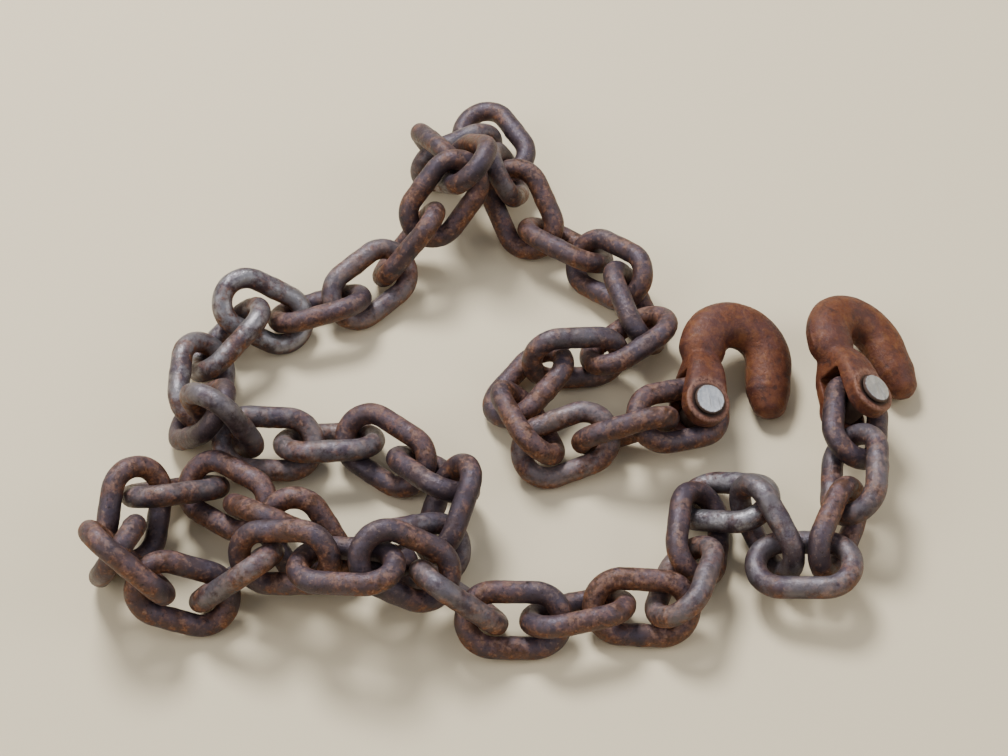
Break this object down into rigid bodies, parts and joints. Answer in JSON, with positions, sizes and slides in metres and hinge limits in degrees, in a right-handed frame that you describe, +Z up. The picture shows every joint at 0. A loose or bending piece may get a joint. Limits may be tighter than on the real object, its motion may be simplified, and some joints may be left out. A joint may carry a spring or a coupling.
{
  "type": "heap of iron chain",
  "caption": "Heap of rusty iron chain lying loose on the floor, with a clevis grab hook on each end.",
  "frame": {"origin": "on the floor under the middle of the heap's box", "axes": "+Z up from the floor that the heap lies on; +X along the longer side of the heap, towards the hooks"},
  "size_m": [0.3828, 0.311, 0.0638],
  "materials": {
    "link_iron": "dark purple-brown oxide with rusty patches and grey worn spots",
    "hook_iron": "orange-brown rust over a forged surface",
    "pin_steel": "bright worn steel with scratches"
  },
  "bodies": {
    "root": {"clevis_pin_a": "pin_steel", "clevis_pin_b": "pin_steel", "grab_hook_a": "hook_iron", "grab_hook_b": "hook_iron", "link_01": "link_iron", "link_02": "link_iron", "link_03": "link_iron", "link_04": "link_iron", "link_05": "link_iron", "link_06": "link_iron", "link_07": "link_iron", "link_08": "link_iron", "link_09": "link_iron", "link_10": "link_iron", "link_11": "link_iron", "link_12": "link_iron", "link_13": "link_iron", "link_14": "link_iron", "link_15": "link_iron", "link_16": "link_iron", "link_17": "link_iron", "link_18": "link_iron", "link_19": "link_iron", "link_20": "link_iron", "link_21": "link_iron", "link_22": "link_iron", "link_23": "link_iron", "link_24": "link_iron", "link_25": "link_iron", "link_26": "link_iron", "link_27": "link_iron", "link_28": "link_iron", "link_29": "link_iron", "link_30": "link_iron", "link_31": "link_iron", "link_32": "link_iron", "link_33": "link_iron", "link_34": "link_iron", "link_35": "link_iron", "link_36": "link_iron", "link_37": "link_iron", "link_38": "link_iron", "link_39": "link_iron", "link_40": "link_iron", "link_41": "link_iron", "link_42": "link_iron", "link_43": "link_iron", "link_44": "link_iron", "link_45": "link_iron", "link_46": "link_iron", "link_47": "link_iron", "link_48": "link_iron", "link_49": "link_iron", "link_50": "link_iron", "link_51": "link_iron", "link_52": "link_iron", "link_53": "link_iron", "link_54": "link_iron", "link_55": "link_iron", "link_56": "link_iron"}
  },
  "joints": []
}
